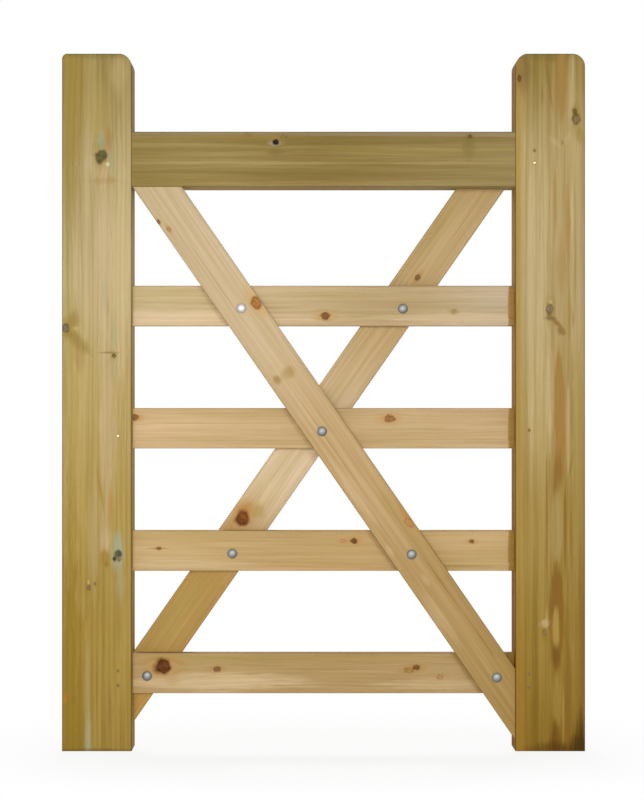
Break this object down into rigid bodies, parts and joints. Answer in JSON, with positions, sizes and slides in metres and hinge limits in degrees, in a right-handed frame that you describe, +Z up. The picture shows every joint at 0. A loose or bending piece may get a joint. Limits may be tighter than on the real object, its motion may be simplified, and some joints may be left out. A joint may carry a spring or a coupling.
{
  "type": "timber five-bar gate leaf",
  "caption": "Pedestrian timber gate leaf: round-shouldered stiles, a deep top rail, slim lower rails tenoned between them, and crossed diagonal braces bolted on the front and back.",
  "frame": {"origin": "on the outer face of the hanging stile, at its foot, in the middle of its thickness", "axes": "+X from the hanging stile to the latch stile, +Y from the front to the back, +Z up"},
  "size_m": [0.9, 0.07, 1.2],
  "materials": {
    "stile_timber": "planed pressure-treated softwood, olive-gold tint",
    "top_rail_timber": "planed pressure-treated softwood, darker olive tint",
    "board_timber": "planed softwood, pale tan with knots",
    "zinc_bolts": "bright zinc plated steel"
  },
  "bodies": {
    "root": {"hanging_stile": "stile_timber", "latch_stile": "stile_timber", "top_rail": "top_rail_timber", "second_rail": "board_timber", "third_rail": "board_timber", "fourth_rail": "board_timber", "bottom_rail": "board_timber", "front_brace": "board_timber", "back_brace": "board_timber"}
  },
  "joints": []
}
